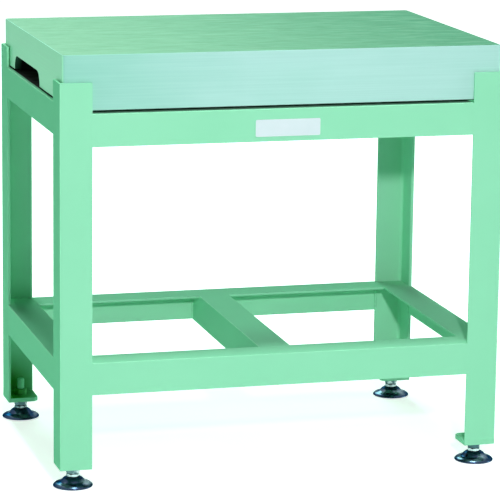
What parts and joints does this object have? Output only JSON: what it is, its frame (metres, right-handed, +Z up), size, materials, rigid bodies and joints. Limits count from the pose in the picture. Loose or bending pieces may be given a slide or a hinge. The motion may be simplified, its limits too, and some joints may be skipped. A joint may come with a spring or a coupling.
{
  "type": "surface plate stand",
  "caption": "Heavy rectangular surface plate with hand holes in its ends, resting in a welded open steel angle stand with a low braced frame and levelling feet.",
  "frame": {"origin": "on the floor, midway between the four levelling feet", "axes": "+Z up, +X along the long side, -Y towards the side with the blank label plate"},
  "size_m": [0.929, 0.629, 0.8689],
  "materials": {
    "mint_paint": "semi-gloss mint green paint",
    "scraped_iron": "hand-scraped top, fine-milled sides, with a green cast",
    "dark_chrome": "dark polished plating",
    "bright_zinc": "bright zinc plating",
    "blank_label": "blank satin enamel on thin sheet"
  },
  "bodies": {
    "frame": {"leg_front_left": "mint_paint", "leg_front_right": "mint_paint", "leg_rear_left": "mint_paint", "leg_rear_right": "mint_paint", "front_top_rail": "mint_paint", "rear_top_rail": "mint_paint", "left_top_rail": "mint_paint", "right_top_rail": "mint_paint", "front_lower_rail": "mint_paint", "rear_lower_rail": "mint_paint", "left_lower_rail": "mint_paint", "right_lower_rail": "mint_paint", "lower_cross_bar": "mint_paint", "foot_plate_front_left": "mint_paint", "foot_plate_front_right": "mint_paint", "foot_plate_rear_left": "mint_paint", "foot_plate_rear_right": "mint_paint", "foot_weld_nut_front_left": "mint_paint", "foot_weld_nut_front_right": "mint_paint", "foot_weld_nut_rear_left": "mint_paint", "foot_weld_nut_rear_right": "mint_paint", "label_plate": "blank_label"},
    "surface_plate": {"surface_plate": "scraped_iron"},
    "foot_pad_front_left": {"foot_pad_front_left": "dark_chrome"},
    "foot_stud_front_left": {"foot_stud_front_left": "bright_zinc"},
    "foot_locknut_front_left": {"foot_locknut_front_left": "bright_zinc"},
    "foot_pad_front_right": {"foot_pad_front_right": "dark_chrome"},
    "foot_stud_front_right": {"foot_stud_front_right": "bright_zinc"},
    "foot_locknut_front_right": {"foot_locknut_front_right": "bright_zinc"},
    "foot_pad_rear_left": {"foot_pad_rear_left": "dark_chrome"},
    "foot_stud_rear_left": {"foot_stud_rear_left": "bright_zinc"},
    "foot_locknut_rear_left": {"foot_locknut_rear_left": "bright_zinc"},
    "foot_pad_rear_right": {"foot_pad_rear_right": "dark_chrome"},
    "foot_stud_rear_right": {"foot_stud_rear_right": "bright_zinc"},
    "foot_locknut_rear_right": {"foot_locknut_rear_right": "bright_zinc"}
  },
  "joints": [
    {"name": "surface_plate_lift", "type": "slide", "parent": "frame", "child": "surface_plate", "axis": [0, 0, 1], "range_m": [0, 0.1]},
    {"name": "foot_front_left_height", "type": "slide", "parent": "frame", "child": "foot_pad_front_left", "axis": [0, 0, 1], "range_m": [-0.02, 0]},
    {"name": "foot_front_left_turn", "type": "hinge", "parent": "foot_pad_front_left", "child": "foot_stud_front_left", "pos_m": [-0.4245, -0.2745, 0.023], "axis": [0, 0, 1], "range_deg": [-3610, 10]},
    {"name": "foot_front_left_locknut_turn", "type": "hinge", "parent": "frame", "child": "foot_locknut_front_left", "pos_m": [-0.4245, -0.2745, 0.0331], "axis": [0, 0, 1], "range_deg": [-180, 0]},
    {"name": "foot_front_right_height", "type": "slide", "parent": "frame", "child": "foot_pad_front_right", "axis": [0, 0, 1], "range_m": [-0.02, 0]},
    {"name": "foot_front_right_turn", "type": "hinge", "parent": "foot_pad_front_right", "child": "foot_stud_front_right", "pos_m": [0.4245, -0.2745, 0.023], "axis": [0, 0, 1], "range_deg": [-3610, 10]},
    {"name": "foot_front_right_locknut_turn", "type": "hinge", "parent": "frame", "child": "foot_locknut_front_right", "pos_m": [0.4245, -0.2745, 0.0331], "axis": [0, 0, 1], "range_deg": [-180, 0]},
    {"name": "foot_rear_left_height", "type": "slide", "parent": "frame", "child": "foot_pad_rear_left", "axis": [0, 0, 1], "range_m": [-0.02, 0]},
    {"name": "foot_rear_left_turn", "type": "hinge", "parent": "foot_pad_rear_left", "child": "foot_stud_rear_left", "pos_m": [-0.4245, 0.2745, 0.023], "axis": [0, 0, 1], "range_deg": [-3610, 10]},
    {"name": "foot_rear_left_locknut_turn", "type": "hinge", "parent": "frame", "child": "foot_locknut_rear_left", "pos_m": [-0.4245, 0.2745, 0.0331], "axis": [0, 0, 1], "range_deg": [-180, 0]},
    {"name": "foot_rear_right_height", "type": "slide", "parent": "frame", "child": "foot_pad_rear_right", "axis": [0, 0, 1], "range_m": [-0.02, 0]},
    {"name": "foot_rear_right_turn", "type": "hinge", "parent": "foot_pad_rear_right", "child": "foot_stud_rear_right", "pos_m": [0.4245, 0.2745, 0.023], "axis": [0, 0, 1], "range_deg": [-3610, 10]},
    {"name": "foot_rear_right_locknut_turn", "type": "hinge", "parent": "frame", "child": "foot_locknut_rear_right", "pos_m": [0.4245, 0.2745, 0.0331], "axis": [0, 0, 1], "range_deg": [-180, 0]}
  ],
  "couplings": [
    {"joint": "foot_front_left_turn", "follows": "foot_front_left_height", "rad_per_m": 3141.6},
    {"joint": "foot_front_right_turn", "follows": "foot_front_right_height", "rad_per_m": 3141.6},
    {"joint": "foot_rear_left_turn", "follows": "foot_rear_left_height", "rad_per_m": 3141.6},
    {"joint": "foot_rear_right_turn", "follows": "foot_rear_right_height", "rad_per_m": 3141.6}
  ]
}
